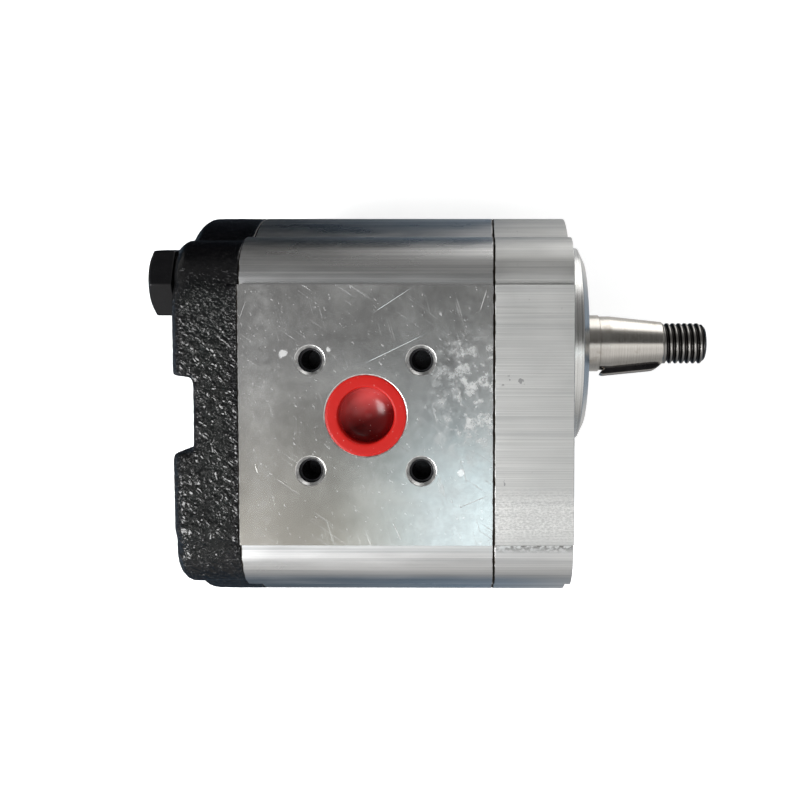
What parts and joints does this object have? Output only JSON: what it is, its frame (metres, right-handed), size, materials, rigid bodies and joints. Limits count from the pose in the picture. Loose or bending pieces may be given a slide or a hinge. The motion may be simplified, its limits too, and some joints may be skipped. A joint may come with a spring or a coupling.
{
  "type": "hydraulic gear pump",
  "caption": "External gear pump with an extruded aluminium body, cast rear cover, round pilot, square-pattern flange ports and a keyed taper shaft with a threaded end.",
  "frame": {"origin": "on the drive shaft's axis, in the mounting face at the foot of the centring pilot", "axes": "+X along the drive shaft towards its threaded end, +Z out of the suction port, +Y from the driven gear towards the drive shaft"},
  "size_m": [0.1522, 0.109, 0.087],
  "materials": {
    "extruded_aluminium": "extruded, fine lines along the shaft direction",
    "milled_aluminium": "milled pads with light handling scratches",
    "black_casting": "glossy black paint over a rough casting",
    "ground_steel": "turned and ground",
    "key_steel": "dark, oiled",
    "bearing_alloy": "machined",
    "bush_bronze": "sliding layer",
    "seal_rubber": "matt",
    "lip_rubber": "satin",
    "backup_plastic": "matt",
    "black_bolt": "glossy black paint",
    "red_plastic": "soft glossy polyethylene"
  },
  "bodies": {
    "housing": {"front_cover": "extruded_aluminium", "pump_body": "milled_aluminium", "rear_cover": "black_casting", "front_bearing_block": "bearing_alloy", "rear_bearing_block": "bearing_alloy", "front_drive_bush": "bush_bronze", "front_driven_bush": "bush_bronze", "rear_drive_bush": "bush_bronze", "rear_driven_bush": "bush_bronze", "front_axial_seal": "seal_rubber", "rear_axial_seal": "seal_rubber", "front_backup_rings": "backup_plastic", "rear_backup_rings": "backup_plastic", "front_body_seal": "seal_rubber", "rear_body_seal": "seal_rubber", "shaft_seal_case": "key_steel", "shaft_seal_lip": "lip_rubber", "shaft_seal_spring": "ground_steel", "snap_ring": "key_steel", "front_dowel_pins": "ground_steel", "rear_dowel_pins": "ground_steel", "assembly_bolt_upper": "black_bolt", "assembly_bolt_lower": "black_bolt", "bolt_washer_upper": "black_bolt", "bolt_washer_lower": "black_bolt"},
    "drive_rotor": {"drive_gear_shaft": "ground_steel", "woodruff_key": "key_steel"},
    "driven_rotor": {"driven_gear_shaft": "ground_steel"},
    "suction_transit_plug": {"suction_plug": "red_plastic"},
    "pressure_transit_plug": {"pressure_plug": "red_plastic"}
  },
  "joints": [
    {"name": "drive_shaft_spin", "type": "hinge", "parent": "housing", "child": "drive_rotor", "pos_m": [0, 0, 0], "axis": [1, 0, 0], "continuous": true},
    {"name": "driven_gear_spin", "type": "hinge", "parent": "housing", "child": "driven_rotor", "pos_m": [0, -0.036, 0], "axis": [1, 0, 0], "continuous": true},
    {"name": "suction_plug_pull", "type": "slide", "parent": "housing", "child": "suction_transit_plug", "axis": [0, 0, 1], "range_m": [0, 0.02]},
    {"name": "pressure_plug_pull", "type": "slide", "parent": "housing", "child": "pressure_transit_plug", "axis": [0, 0, -1], "range_m": [0, 0.02]}
  ],
  "couplings": [
    {"joint": "driven_gear_spin", "follows": "drive_shaft_spin", "ratio": -1}
  ]
}
